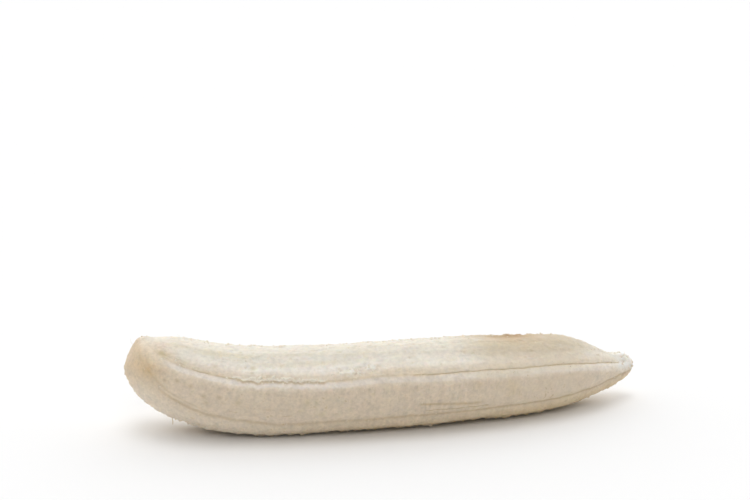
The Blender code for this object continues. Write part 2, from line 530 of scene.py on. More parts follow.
class Form(Graph):
    """A Geometry Nodes tree that makes one piece, with its sizes as named inputs."""

    def __init__(self, name, **sizes):
        super().__init__(bpy.data.node_groups.new(name, "GeometryNodeTree"))
        self.sizes = {label.replace("_", " "): value for label, value in sizes.items()}
        self.sizes["Floor"] = FLESH_LOW.z
        self.keys = {}
        sockets = self.tree.interface
        sockets.new_socket("Geometry", in_out="OUTPUT", socket_type="NodeSocketGeometry")
        for label, value in self.sizes.items():
            socket = sockets.new_socket(label, in_out="INPUT", socket_type=socket_kind(value))
            self.keys[label] = socket.identifier
        self.entry = self.tree.nodes.new("NodeGroupInput")
        self.exit = self.tree.nodes.new("NodeGroupOutput")

    def size(self, label):
        return Value(self, shown_socket(self.entry.outputs, label))

    def geometry_of(self, label):
        """Geometry of an object that is one of the inputs."""
        return self.out("GeometryNodeObjectInfo", None, "Geometry", Object=self.size(label))

    def field(self, name):
        """A named attribute of the geometry at hand."""
        kind = "FLOAT_VECTOR" if name in VECTOR_FIELDS else "FLOAT"
        return self.out("GeometryNodeInputNamedAttribute", {"data_type": kind}, "Attribute",
                        Name=name)

    def store(self, geometry, name, value):
        return self.out("GeometryNodeStoreNamedAttribute",
                        {"data_type": kind_of(value), "domain": "POINT"},
                        Geometry=geometry, Name=name, Value=value)

    def chance(self, low, high, seed):
        """A random number or vector for each point."""
        return self.out("FunctionNodeRandomValue", {"data_type": kind_of(low)},
                        Min=low, Max=high, Seed=seed)

    def any_way(self, reach, seed):
        """A random vector for each point, no longer than the reach along any axis."""
        return self.chance((-reach,) * 3, (reach,) * 3, seed)

    def turned(self, up, along):
        """The turn that points a shape's Z axis up and its X axis along."""
        return self.out("FunctionNodeAxesToRotation",
                        {"primary_axis": "Z", "secondary_axis": "X"},
                        Primary_Axis=up, Secondary_Axis=along)

    def line(self, start, end, count):
        """A straight line of this many points."""
        line = self.out("GeometryNodeCurvePrimitiveLine", {"mode": "POINTS"},
                        Start=start, End=end)
        return self.out("GeometryNodeResampleCurve", Curve=line, Count=count)

    def flesh_line(self, selection):
        """The selected points of the flesh, as a line."""
        kept = self.out("GeometryNodeSeparateGeometry", {"domain": "POINT"}, "Selection",
                        Geometry=self.geometry_of("Flesh"), Selection=selection)
        return self.out("GeometryNodeMeshToCurve", Mesh=kept)

    def tube(self, line, sides, radius, **sockets):
        """A closed tube round a line."""
        ring = self.out("GeometryNodeCurvePrimitiveCircle", Resolution=sides, Radius=radius)
        return self.out("GeometryNodeCurveToMesh", Curve=line, Profile_Curve=ring,
                        Fill_Caps=True, **sockets)

    def move(self, geometry, **sockets):
        return self.out("GeometryNodeSetPosition", Geometry=geometry, **sockets)

    def above_floor(self, place):
        x, y, z = self.split(place)
        return self.join(x, y, on("MAXIMUM", z, self.size("Floor")))

    def finish(self, geometry, piece_name):
        """Realizes, smooths and colours the geometry, and returns it as a plain mesh object."""
        solid = self.out("GeometryNodeRealizeInstances", Geometry=geometry)
        place = self.out("GeometryNodeInputPosition")
        solid = self.move(solid, Position=self.above_floor(place))
        smooth = self.out("GeometryNodeSetShadeSmooth", Geometry=solid)
        painted = self.out("GeometryNodeSetMaterial", Geometry=smooth,
                           Material=self.size("Material"))
        self.feed(self.exit.inputs["Geometry"], painted)
        holder = add_object(piece_name + "_holder", bpy.data.meshes.new("empty"))
        modifier = holder.modifiers.new("form", "NODES")
        modifier.node_group = self.tree
        for label, value in self.sizes.items():
            modifier[self.keys[label]] = value
        graph = bpy.context.evaluated_depsgraph_get()
        data = bpy.data.meshes.new_from_object(holder.evaluated_get(graph), depsgraph=graph)
        bpy.data.objects.remove(holder, do_unlink=True)
        data.name = piece_name
        data.materials.clear()
        data.materials.append(self.sizes["Material"])
        data.polygons.foreach_set("material_index", [0] * len(data.polygons))
        return add_object(piece_name, data)


def add_object(name, data):
    made = bpy.data.objects.new(name, data)
    bpy.context.scene.collection.objects.link(made)
    return made


def socket_kind(value):
    if isinstance(value, bpy.types.Object):
        return "NodeSocketObject"
    if isinstance(value, bpy.types.Material):
        return "NodeSocketMaterial"
    if isinstance(value, int):
        return "NodeSocketInt"
    return "NodeSocketFloat"


def spine_object():
    """The spine as a curve, for the trees to sample."""
    data = bpy.data.curves.new("spine", "CURVE")
    data.dimensions = "3D"
    spline = data.splines.new("POLY")
    spline.points.add(len(SPINE) - 1)
    for point, place in zip(spline.points, SPINE):
        point.co = (*place, 1)
    return add_object("spine", data)


class SkinForm(Form):
    """A tree whose geometry lies along the spine, by station and section angle."""

    def sides(self, station):
        """Middle of the section at a station, with its unit vectors to the near and top side."""
        sample = self.node("GeometryNodeSampleCurve", {"mode": "FACTOR"},
                           Curves=self.geometry_of("Spine"), Factor=station / SPINE_LENGTH)
        middle = Value(self, sample.outputs["Position"])
        self.along = self.vector("NORMALIZE", Value(self, sample.outputs["Tangent"]))
        near = self.vector("NORMALIZE", self.vector("CROSS_PRODUCT", self.along, (0, 0, 1)))
        return middle, near, self.vector("CROSS_PRODUCT", near, self.along)

    def outward(self, near, top, angle):
        return near * on("COSINE", angle) + top * on("SINE", angle)


# ---------------- the flesh

ROWS = 368
END_ROWS = 14
COLUMNS_BETWEEN = (56, 60, 50, 34, 30, 34)
SQUEEZE = 0.45
CLOSE_DISTANCE = 6e-6


def row_station(row):
    """Station of a row. The rows crowd together towards the two ends."""
    from_end = on("MINIMUM", row, ROWS - row)
    crowded = on("MINIMUM", from_end, END_ROWS)
    steps = crowded * crowded / (2 * END_ROWS) + on("MAXIMUM", from_end - END_ROWS, 0)
    distance = steps * (SPINE_LENGTH / (ROWS - END_ROWS))
    return distance + on("GREATER_THAN", row, ROWS / 2) * (SPINE_LENGTH - distance * 2)


def column_angle(column, seams):
    """Section angle of a column. The columns run along the creases and crowd beside them."""
    angle = seams[0]
    start = 0
    for index, count in enumerate(COLUMNS_BETWEEN):
        share = clamp((column - start) / count)
        share = share - on("SINE", share * math.tau) * (SQUEEZE / math.tau)
        following = seams[index + 1] if index + 1 < len(seams) else seams[0] + math.tau
        angle = share * (following - seams[index]) + angle
        start += count
    return angle


def scallops(form, station):
    """Course of the torn edge: rounded lobes that hang down between sharp notches, 0 to 1."""
    turns = form.waver(station, 140, 9.3) * 1.1 + station / SCALLOP_LENGTH
    return on("POWER", on("ABSOLUTE", on("SINE", turns * math.pi)), 0.6)


def crease_stray(form, seam, station):
    """How far a crease strays from its smooth course, across the surface."""
    share = station / SPINE_LENGTH
    stray = form.waver(station, 180, seam * 3.7 + 1) * (0.3 * MM)
    fine = form.waver(station, 700, seam * 5.1 + 2)
    if seam == NEAR_HIGH:
        ragged = within(share, *TORN_SPAN)
        drop = scallops(form, station) * SCALLOP_DROP + form.waver(station, 90, 4.4) * (0.3 * MM)
        drop = form.waver(station, 480, 6.6) * (0.6 * MM) + drop
        return stray + fine * (0.1 * MM) - drop * ragged
    return stray + fine * (0.14 * MM)


def flesh_heights(form, angle, station, radius, distances, place, straight):
    """Height of the surface over the smooth form."""
    share = station / SPINE_LENGTH
    height = broad_relief(angle, station, radius)
    for distance, crease in zip(distances, CREASES):
        across = on("ABSOLUTE", distance)
        groove = on("EXPONENT", across / -GROOVE_WIDTH) * profile(share, crease["groove"])
        valley = bump(distance, CREASE_WIDTH) * profile(share, crease["valley"])
        height = height - groove * GROOVE_DEPTH - valley * CREASE_DEPTH

    from_high = distances[NEAR_HIGH]
    torn = within(share, *TORN_SPAN)
    sunk = on("EXPONENT", on("MINIMUM", from_high, 0) / TORN_REACH)
    edge = on("EXPONENT", on("MAXIMUM", from_high, 0) / -TORN_EDGE_REACH)
    curl = bump(from_high - CURL_OFFSET, CURL_WIDTH) * (form.noise(place, 520, 2) * 1.4 + 0.6)
    height = height + (curl * CURL_HEIGHT - sunk * edge * TORN_STEP) * torn

    outline = around(angle, 107, 13) * 1.6 + around(angle, -66, 14) * 3.6
    rough = rise(form.noise(place, 70, 2), -0.3, 0.5) + outline
    cotton = form.noise(place, COTTON_WAVES, 3, 0.55) * (rough * COTTON_EXTRA + COTTON_HEIGHT)
    grain = form.noise(place, GRAIN_WAVES, 1) * (rough * GRAIN_EXTRA + GRAIN_HEIGHT)
    waves = form.noise(place, SLOW_WAVES, 2) * SLOW_HEIGHT
    fibres = form.noise(straight * (0.12, 1.0, 1.0), FIBRE_WAVES, 1) * FIBRE_HEIGHT
    strength = relief_strength(station, radius)
    height = (height + cotton + grain + waves + fibres) * strength
    ends = rise(share, 0.945, 0.975) * TIP_LUMP_HEIGHT + rise(share, 0.06, 0.02) * STEM_LUMP_HEIGHT
    height = form.noise(place, LUMP_WAVES, 2, 0.6) * ends * clamp(radius / (4 * MM)) + height
    shoulder = around(angle, -88, 42) * rise(station, 0, 0.8 * MM)
    height = shoulder * bump(station - 1.3 * MM, 1.5 * MM) * SHOULDER_HEIGHT + height
    chin = around(angle, -62, 38) * bump(station - CHIN_SHARE * SPINE_LENGTH, 4 * MM)
    height = chin * CHIN_HEIGHT + height
    crumpled = bump(from_high - CRUMPLE_OFFSET, 1.3 * MM) * within(share, *CRUMPLE_SPAN)
    height = form.noise(place, CRUMPLE_WAVES, 2, 0.6) * crumpled * CRUMPLE_HEIGHT + height
    return height - rise(form.noise(place, PIT_WAVES, 2), 0.18, 0.5) * strength * PIT_DEPTH


def cut_askew(form, place):
    """Flattens what lies past the slanting cut at the blossom end."""
    along = (SPINE[-1] - SPINE[-2]).normalized()
    _, top = sides_at(along)
    start = SPINE[-1] + along * CUT_START[0] + top * CUT_START[1]
    normal = along * math.cos(CUT_LEAN) - top * math.sin(CUT_LEAN)
    past = on("MAXIMUM", form.vector("DOT_PRODUCT", place - start, normal), 0)
    return place - form.join(*normal) * (past * CUT_DEPTH)


def push_corner(form, place):
    """The place, moved inwards where it lies on the upper corner of the stem end."""
    x, y, z = form.split(place)
    push = rise(z, *CORNER_HEIGHTS) * rise(x, *CORNER_LENGTHS) * CORNER_PUSH
    return form.join(x + push, y, z)


def make_flesh(material, spine):
    form = SkinForm("flesh_form", Spine=spine, Rows=ROWS, Columns=sum(COLUMNS_BETWEEN),
                    Material=material)
    rows = form.size("Rows")
    columns = form.size("Columns")
    geometry = form.out("GeometryNodeMeshGrid", None, "Mesh", Size_X=rows, Size_Y=columns,
                        Vertices_X=rows + 1, Vertices_Y=columns + 1)
    row, column, _ = form.split(form.out("GeometryNodeInputPosition"))
    station = row_station(row + rows / 2)
    radius = girth(station)
    safe_radius = on("MAXIMUM", radius, 2 * MM)
    seams = [
        seam_angle(seam, station) + crease_stray(form, seam, station) / safe_radius
        for seam in range(len(SEAMS))
    ]
    angle = column_angle(column + columns / 2, seams)
    radius = radius * facet_factor(angle)
    middle, near, top = form.sides(station)
    outward = form.outward(near, top, angle)
    smooth_place = middle + outward * radius
    scar = rise(radius, SCAR_RADIUS, 0.6 * SCAR_RADIUS) * rise(station, 9 * MM, 5 * MM)
    middle = middle - form.along * (scar * (form.noise(smooth_place, 600, 2) * 0.4 + 1) * SCAR_HEIGHT)
    smooth_place = middle + outward * radius
    distances = [turn_from(angle, seam) * radius for seam in seams]
    straight = form.join(station, on("COSINE", angle) * BODY_RADIUS,
                         on("SINE", angle) * BODY_RADIUS)
    height = flesh_heights(form, angle, station, radius, distances, smooth_place, straight)
    shaped = push_corner(form, smooth_place + outward * height)
    settled = form.above_floor(cut_askew(form, shaped))
    closest = on("ABSOLUTE", distances[0])
    for distance in distances[1:]:
        closest = on("MINIMUM", closest, on("ABSOLUTE", distance))
    fields = {
        "straight": straight,
        "from_near_low": distances[NEAR_LOW] / MM,
        "from_near_high": distances[NEAR_HIGH] / MM,
        "from_crease": closest / MM,
        "column": column + columns / 2,
        "outward": outward,
    }
    for name, value in fields.items():
        geometry = form.store(geometry, name, value)
    geometry = form.move(geometry, Position=settled)
    geometry = form.out("GeometryNodeMergeByDistance", Geometry=geometry,
                        Distance=CLOSE_DISTANCE)
    return form.finish(geometry, "flesh")


# ---------------- loose strings, flakes and fluff

STRING_SIDES = 5
# Strings left in the flesh, as (column they follow, start and end share, radius, how broken).
STRINGS = (
    (0, 0.16, 0.50, 0.10, 0.30),
    (0, 0.50, 0.975, 0.13, 0.05),
    (12, 0.545, 0.665, 0.12, 0.10),
    (17, 0.20, 0.31, 0.09, 0.55),
    (56, 0.10, 0.21, 0.10, 0.35),
    (56, 0.52, 0.955, 0.11, 0.08),
    (166, 0.08, 0.97, 0.09, 0.30),
    (200, 0.05, 0.98, 0.13, 0.15),
    (206, 0.30, 0.52, 0.10, 0.30),
    (230, 0.05, 0.98, 0.13, 0.15),
)


def make_string(flesh, material, index):
    column, start, end, radius, broken = STRINGS[index]
    form = Form("string_form", Flesh=flesh, Column=float(column), Start=start, End=end,
                Radius=radius * MM, Broken=broken, Material=material)
    station, _, _ = form.split(form.field("straight"))
    share = station / SPINE_LENGTH
    stray = on("ABSOLUTE", form.field("column") - form.size("Column"))
    present = on("COMPARE", stray, 0, 0.01)
    present = present * on("GREATER_THAN", share, form.size("Start"))
    present = present * on("LESS_THAN", share, form.size("End"))
    gap = on("LESS_THAN", form.waver(station, 240, index * 2.3), form.size("Broken") - 0.5)
    line = form.flesh_line(present * (1 - gap))
    line = form.move(line, Offset=form.field("outward") * (form.size("Radius") * 0.35))
    thick = form.waver(station, 500, index * 1.7) * 0.5 + 1.0
    tube = form.tube(line, STRING_SIDES, 1.0, Scale=thick * form.size("Radius"))
    return form.finish(tube, f"string_{index}")


def make_strings(flesh, material):
    pieces = [make_string(flesh, material, index) for index in range(len(STRINGS))]
    pieces.append(make_hanging_thread(material))
    return join_pieces(pieces, "crease_strings")


def join_pieces(pieces, name):
    """One piece from several that share a finish."""
    joined = bmesh.new()
    for piece in pieces:
        joined.from_mesh(piece.data)
    data = bpy.data.meshes.new(name)
    joined.to_mesh(data)
    joined.free()
    for material in pieces[0].data.materials:
        data.materials.append(material)
    for piece in pieces:
        bpy.data.objects.remove(piece, do_unlink=True)
    return add_object(name, data)


class ScrapForm(Form):
    """A tree that lays small scraps of flesh on the big piece."""

    def place(self):
        """Share of the length and section angle of the points at hand."""
        station, near_part, top_part = self.split(self.field("straight"))
        return station / SPINE_LENGTH, on("ARCTAN2", top_part, near_part)

    def scatter(self, keep, seed, size_seed, larger=1.0):
        """Points on the flesh where they are kept, each with its size."""
        points = self.out("GeometryNodeDistributePointsOnFaces", None, "Points",
                          Mesh=self.geometry_of("Flesh"), Density=keep * self.size("Density"),
                          Seed=seed)
        return self.store(points, "size", self.any_size(size_seed) * larger)

    def any_size(self, seed):
        """A random size for each point, mostly small, kept on the points as an attribute."""
        size = self.chance(0.0, 1.0, seed)
        return size * size * (self.size("Largest") - self.size("Smallest")) + self.size("Smallest")

    def instances(self, points, shape, turn, scale):
        return self.out("GeometryNodeInstanceOnPoints", Points=points,
                        Instance=shape, Rotation=turn, Scale=scale)


def make_crumbs(flesh, material):
    """Cottony crumbs, most of each sunk in the flesh, larger along the edges."""
    form = ScrapForm("crumb_form", Flesh=flesh, Density=1.4e6, Smallest=0.14 * MM,
                     Largest=0.48 * MM, Material=material)
    share, angle = form.place()
    top_edge = around(angle, 107, 9)
    low_edge = around(angle, -68, 13)
    lips = bump(form.field("from_crease") - 0.6, 0.9) * 0.7
    patches = rise(form.noise(form.field("straight"), 120, 2), 0.05, 0.4)
    keep = clamp(top_edge * 0.5 + low_edge * 0.7 + lips * 0.2 + patches * 0.08)
    larger = top_edge * 0.4 + low_edge * 0.9 + 1.0
    points = form.scatter(keep * rise(share, 0.04, 0.1), 3, 6, larger)
    size = form.field("size")
    points = form.move(points, Offset=form.field("outward") * (size * -0.3))
    ball = form.out("GeometryNodeMeshIcoSphere", None, "Mesh", Radius=1.0, Subdivisions=1)
    scale = form.chance((0.6, 0.6, 0.5), (1.5, 1.0, 1.0), 5)
    turn = form.chance((0.0, 0.0, 0.0), (6.28, 6.28, 6.28), 7)
    return form.finish(form.instances(points, ball, turn, scale * size), "crumbs")


def curled_leaf(form, segments, rings, thickness):
    """An oval scrap, one unit in radius, that curls down at its edges."""
    ball = form.out("GeometryNodeMeshUVSphere", None, "Mesh", Segments=segments, Rings=rings,
                    Radius=1.0)
    spot = form.out("GeometryNodeInputPosition")
    x, y, z = form.split(spot)
    ragged = form.noise(spot, 1.3, 2) * 0.22 + 1
    curled = form.join(x * ragged, y * ragged, z * thickness - x * x * 0.08 - y * y * 0.16)
    return form.move(ball, Position=curled)


def make_torn_edge(flesh, material):
    """Rough lumps of flesh along the torn part of the near high crease."""
    form = ScrapForm("torn_edge_form", Flesh=flesh, Step=0.62 * MM, Smallest=0.35 * MM,
                     Largest=1.15 * MM, Width=0.48 * MM, Material=material)
    share, _ = form.place()
    seam_column = float(sum(COLUMNS_BETWEEN[:NEAR_HIGH]))
    on_seam = on("COMPARE", form.field("column"), seam_column, 0.01)
    torn = on("GREATER_THAN", share, TORN_SPAN[0] - 0.01) * on("LESS_THAN", share, TORN_SPAN[1])
    strewn = form.node("GeometryNodeCurveToPoints", {"mode": "LENGTH"},
                       Curve=form.flesh_line(on_seam * torn), Length=form.size("Step"))
    tangent = Value(form, strewn.outputs["Tangent"])
    points = form.store(Value(form, strewn.outputs["Points"]), "size", form.any_size(12))
    points = form.store(points, "breadth", form.chance(0.6, 1.3, 13) * form.size("Width"))
    outward = form.field("outward")
    breadth = form.field("breadth")
    upward = form.vector("NORMALIZE", form.vector("CROSS_PRODUCT", outward, tangent))
    lean = form.chance(-0.7, 0.7, 14)
    turn = form.turned(outward - upward * 0.25, tangent + upward * lean)
    lift = form.chance(0.2, 2.4, 15)
    points = form.move(points, Offset=upward * (breadth * lift) - outward * (breadth * 0.16))
    scale = form.join(form.field("size"), breadth, breadth)
    leaf = curled_leaf(form, 12, 6, 0.5)
    return form.finish(form.instances(points, leaf, turn, scale), "torn_edge")


def make_scuffs(flesh, material):
    """Small lifted scraps: a rough patch past the tear, and a few more here and there."""
    form = ScrapForm("scuff_form", Flesh=flesh, Density=9.0e5, Smallest=0.28 * MM,
                     Largest=1.0 * MM, Material=material)
    share, angle = form.place()
    from_high = form.field("from_near_high")
    rough = bump(from_high - 3.1, 1.4) * within(share, 0.385, 0.46, 0.01) * 0.8
    rough = bump(from_high - 1.2, 0.8) * within(share, 0.22, 0.36, 0.01) * 0.25 + rough
    stray = rise(form.noise(form.field("straight"), 60, 1), 0.32, 0.5)
    far = bump(form.field("from_crease") - 0.3, 0.6) * rise(on("ABSOLUTE", angle), 1.9, 2.1)
    lump = rise(share, 0.95, 0.965) * within(from_high, -2.5, 2.0, 1.0) * 0.5
    stray = stray * rise(share, 0.1, 0.16) * 0.04
    keep = clamp(rough + stray + far * 0.12 + lump)
    points = form.scatter(keep, 21, 22)
    size = form.field("size")
    turn = form.turned(form.field("outward") + form.any_way(0.3, 23), form.any_way(1.0, 24))
    scale = form.join(size, size * 0.6, size * 0.7)
    leaf = curled_leaf(form, 7, 5, 0.3)
    return form.finish(form.instances(points, leaf, turn, scale), "scuffs")


def bent_thread(form, sides):
    """A thread one unit long that rises from the surface and bends over."""
    line = form.line((0.0, 0.0, 0.0), (1.0, 0.0, 0.0), 5)
    x, _, _ = form.split(form.out("GeometryNodeInputPosition"))
    line = form.move(line, Position=form.join(x, x * x * 0.35, x * 0.55 - x * x * 0.55))
    taper = 1.15 - x * 0.8
    return form.tube(line, sides, 0.03, Scale=taper)


def make_fluff(flesh, material):
    """Fine cottony threads along the creases, the outline and the two ends, and a few all over."""
    form = ScrapForm("fluff_form", Flesh=flesh, Density=8.0e4, Smallest=0.7 * MM,
                     Largest=2.4 * MM, Material=material)
    share, angle = form.place()
    low_edge = around(angle, -70, 16)
    top_edge = around(angle, 103, 12)
    lips = bump(form.field("from_crease") - 0.4, 0.8)
    ends = 1 - rise(share, 0.03, 0.06) + rise(share, 0.95, 0.97)
    keep = clamp(low_edge + top_edge * 0.3 + lips * 0.35 + ends * 0.2 + 0.03)
    points = form.scatter(keep, 31, 32)
    turn = form.turned(form.field("outward"), form.any_way(1.0, 33))
    threads = form.instances(points, bent_thread(form, 4), turn, form.field("size"))
    return form.finish(threads, "fluff")


def make_hanging_thread(material):
    """One longer thread that hangs from the low edge near the stem end."""
    form = Form("hanging_thread_form", Length=2.4 * MM, Radius=0.13 * MM, Material=material)
    top = skin_place(SPINE, 0.117 * SPINE_LENGTH, math.radians(-60))
    foot = form.join(top.x, top.y - 0.5 * MM, top.z - form.size("Length"))
    line = form.line(top, foot, 9)
    x, y, z = form.split(form.out("GeometryNodeInputPosition"))
    line = form.move(line, Position=form.join(form.waver(z, 500, 1.5) * (0.5 * MM) + x, y, z))
    return form.finish(form.tube(line, 6, form.size("Radius")), "hanging_thread")


# ---------------- finishes

CREAM = (0.985, 0.93, 0.84, 1.0)
TAN = (0.742, 0.631, 0.495, 1.0)
OLIVE = (0.70, 0.61, 0.40, 1.0)
HONEY = (0.72, 0.57, 0.35, 1.0)
BRUISE = (0.60, 0.42, 0.235, 1.0)
BLUSH = (0.82, 0.65, 0.54, 1.0)
LINE_BROWN = (0.50, 0.365, 0.18, 1.0)
SPECK = (0.54, 0.43, 0.26, 1.0)
RIPE = (0.74, 0.63, 0.48, 1.0)
OATMEAL_TOP_SHADE = (0.76, 0.71, 0.605, 1.0)
CHALK = (0.90, 0.885, 0.83, 1.0)
DARK_TIP = (0.45, 0.36, 0.25, 1.0)
HUSK = (0.60, 0.50, 0.36, 1.0)
# Painted shade: warm brown for the underside where it meets the floor, which darkens and warms the
# contact shadow.
PAINTED_CONTACT_SHADE = (0.56, 0.40, 0.20, 1.0)
DRAB = (0.60, 0.51, 0.31, 1.0)
# Brown for the patch on the top towards the blossom end: partly stain, partly painted shadow.
SHADOW_AND_STAIN_BROWN = (0.40, 0.25, 0.12, 1.0)
SHELF = (0.80, 0.735, 0.69, 1.0)
AMBER = (0.66, 0.49, 0.24, 1.0)
# Single marks, as (share of the length, section angle, length and width in mm, strength, colour).
MARKS = (
    (0.040, 22, 8.0, 14.0, 0.35, HONEY),
    (0.040, 62, 3.0, 3.0, 0.45, BLUSH),
    # The next three marks make a brown patch along the top towards the blossom end: partly bruise,
    # partly the painted shadow a neighbouring banana casts there.
    (0.735, 86, 11.0, 5.5, 0.40, BRUISE),
    (0.720, 101, 16.0, 3.6, 0.30, BRUISE),
    (0.730, 99, 7.5, 3.6, 0.80, SHADOW_AND_STAIN_BROWN),
    (0.055, 44, 2.4, 1.3, 0.75, DRAB),
    (0.170, 46, 1.0, 0.9, 0.45, DRAB),
    (0.240, 48, 0.9, 1.0, 0.45, DRAB),
    (0.085, 69, 4.0, 0.8, 0.35, OLIVE),
    (0.165, 66, 5.0, 0.9, 0.35, DRAB),
    (0.215, 64, 3.5, 0.8, 0.30, DRAB),
    (0.310, 70, 7.0, 0.8, 0.25, DRAB),
    (0.425, 66, 5.0, 1.0, 0.25, DRAB),
    (0.110, 16, 0.9, 0.8, 0.50, SPECK),
    (0.090, 10, 0.7, 0.7, 0.50, SPECK),
    (0.135, 14, 0.8, 0.7, 0.50, SPECK),
    (0.160, 4, 0.8, 0.8, 0.45, SPECK),
    (0.185, 6, 0.8, 0.7, 0.50, SPECK),
    (0.165, -4, 0.9, 0.8, 0.50, SPECK),
    (0.217, 1, 1.1, 0.8, 0.50, SPECK),
    (0.335, 1, 0.9, 1.4, 0.40, DRAB),
    (0.350, 0, 0.7, 1.4, 0.40, DRAB),
    (0.360, -18, 1.1, 1.0, 0.40, DRAB),
    (0.640, 10, 1.5, 2.0, 0.30, HONEY),
    (0.705, 2, 2.6, 3.0, 0.30, HONEY),
    (0.825, -30, 3.0, 1.2, 0.35, OLIVE),
    (0.870, 64, 0.7, 0.6, 0.50, SPECK),
    (0.900, 48, 0.8, 0.7, 0.50, SPECK),
)
# The upper side is cream down to this line, in mm from the near high crease, along the share of
# the length.
CREAM_LIMIT = ((0, -1), (0.12, -1.5), (0.3, -2.8), (0.5, -2.5), (1, -2.2))
# How strong the brown lines in the two near creases are, along the share of the length.
HIGH_LINE = ((0.03, 0), (0.1, 0.35), (0.2, 0.45), (0.22, 0), (0.355, 0), (0.37, 0.5),
             (0.42, 0.4), (0.53, 0.35), (0.56, 0.5), (0.75, 0.5), (0.82, 0.7), (0.93, 0.75),
             (0.97, 0.1))
LOW_LINE = ((0.06, 0), (0.12, 0.65), (0.2, 0.5), (0.4, 0.45), (0.55, 0.65), (0.8, 0.75))
# Course of a loose line on the near side, in mm above the near low crease.
SIDE_LINE = ((0.54, 4.9), (0.66, 3.7))


def new_material(name):
    material = bpy.data.materials.new(name)
    material.use_nodes = True
    material.node_tree.nodes.clear()
    return material


def close_finish(graph, shader):
    output = graph.tree.nodes.new("ShaderNodeOutputMaterial")
    graph.tree.links.new(shader.outputs[0], output.inputs["Surface"])


class Skin(Graph):
    """The flesh's finish: where a point lies on the flesh, and the colour laid there so far."""

    def __init__(self, tree):
        super().__init__(tree)
        self.place = self.out("ShaderNodeTexCoord", None, "Object")
        self.straight = self.attribute("straight", "Vector")
        self.from_low = self.attribute("from_near_low")
        self.from_high = self.attribute("from_near_high")
        self.station, near_part, top_part = self.split(self.straight)
        self.share = self.station / SPINE_LENGTH
        self.angle = on("ARCTAN2", top_part, near_part)
        self.height = top_part / BODY_RADIUS
        self.clouds = self.noise(self.place, 55, 3)
        self.mottling = self.noise(self.place, 260, 4, 0.65)
        self.cotton = self.noise(self.place, 1100, 3, 0.6)
        self.flecks = self.noise(self.place, 650, 2)
        self.streaks = self.noise(self.straight * (0.06, 1.0, 1.0), 800, 3)
        limit = profile(self.share, CREAM_LIMIT)
        self.upper = rise(self.from_high + self.clouds + self.mottling * 1.1 - limit, -2.1, 1.5)
        ripe = rise(self.share + self.clouds * 0.04, 0.56, 0.74)
        self.ripe = ripe * rise(self.share, 0.95, 0.8)
        self.even = 1 - self.ripe * 0.35
        self.ribbed = within(self.share, 0.46, 0.72, 0.05) * (1 - self.upper)
        self.colour = TAN

    def attribute(self, name, output="Fac"):
        node = self.node("ShaderNodeAttribute", {"attribute_name": name})
        return Value(self, node.outputs[output])

    def lay(self, mask, tint):
        """Lays a tint over the colour so far."""
        self.colour = self.blend(mask, self.colour, tint)

    def spot(self, share, degrees, length, width):
        """A soft patch round a place on the flesh."""
        along = bump(self.station - share * SPINE_LENGTH, length * MM)
        turn = turn_from(self.angle, math.radians(degrees))
        return along * bump(turn * BODY_RADIUS, width * MM)


def lay_ground(skin):
    """Cream above, tan on the near side, honey and amber low down (partly painted warm shade), and
    painted contact shade where the flesh meets the floor.
    """
    share, height, from_high, upper = skin.share, skin.height, skin.from_high, skin.upper
    pale = rise(from_high, 1.5, 5.5) * 0.58 - bump(from_high - 1.6, 1.6) * 0.2 + 0.45
    pale = pale - rise(from_high, 0.3, -0.6) * within(share, 0.25, 0.85, 0.08) * 0.25
    skin.lay(upper * (rise(share, 0.52, 0.65) * 0.3 + pale), CREAM)
    shelf = within(from_high + rise(share, 0.34, 0.4) * 0.5, -1.9, -0.4, 0.6)
    shelf = shelf * within(share, 0.1, 0.9, 0.05) * (0.5 - rise(share, 0.34, 0.4) * 0.15)
    skin.lay(shelf, SHELF)
    # Honey and amber on the low side: partly the flesh's own warmer underside, partly painted warm
    # shade where the low side turns away from the light.
    skin.lay(rise(height, -0.45, -0.95) * (rise(share, 0.1, 0.5) * 0.5 + 0.15), HONEY)
    skin.lay(rise(height, -0.7, -0.93) * rise(share, 0.2, 0.5) * 0.5, AMBER)
    skin.lay(rise(skin.from_low, 0.2, -2.5) * rise(share, 0.5, 0.8) * 0.3, AMBER)
    skin.lay(upper * within(share, 0.49, 0.68, 0.06) * 0.08, HONEY)
    skin.lay(rise(height, -0.2, -0.7) * rise(share, 0.5, 0.15) * 0.2, CREAM)
    # Painted contact shade: the underside nearest the floor is laid warm brown.
    skin.lay(rise(height, -0.92, -0.98) * 0.7, PAINTED_CONTACT_SHADE)


def lay_ripeness(skin):
    """Browner towards the blossom end, duller and browner along the top (partly painted shade against
    the overhead light), with bands and patches all over.
    """
    share, height, upper, mottling = skin.share, skin.height, skin.upper, skin.mottling
    # Ripe brown on the upper side, weighted towards the top: partly ripeness, partly painted shade
    # against the overhead light.
    ripest_and_top_shade = within(share, 0.68, 0.84, 0.06) * 0.3 + rise(height, 0.4, 1.0) * 0.7 + 0.07
    skin.lay(skin.ripe * upper * ripest_and_top_shade, RIPE)
    # Painted shade: the top is dulled towards oatmeal where the overhead light falls strongest.
    skin.lay(rise(height, 0.6, 0.98) * 0.8, OATMEAL_TOP_SHADE)
    skin.lay(rise(height, 0.5, 1.0) * skin.ripe * 0.75, HUSK)
    bands = skin.noise(skin.straight * (0.1, 1.0, 1.0), 270, 2)
    patchy = mottling + skin.clouds * 0.5 + bands * 0.3
    skin.lay(rise(patchy, 0.0, 0.6) * skin.even * 0.18, TAN)
    skin.lay(rise(patchy, 0.0, -0.6) * (upper * 0.16 + 0.05), CHALK)
    banding = rise(bands + skin.streaks * 0.5 + mottling * 0.3, 0.0, 0.7)
    skin.lay(banding * (upper * 0.17 + 0.1), OLIVE)


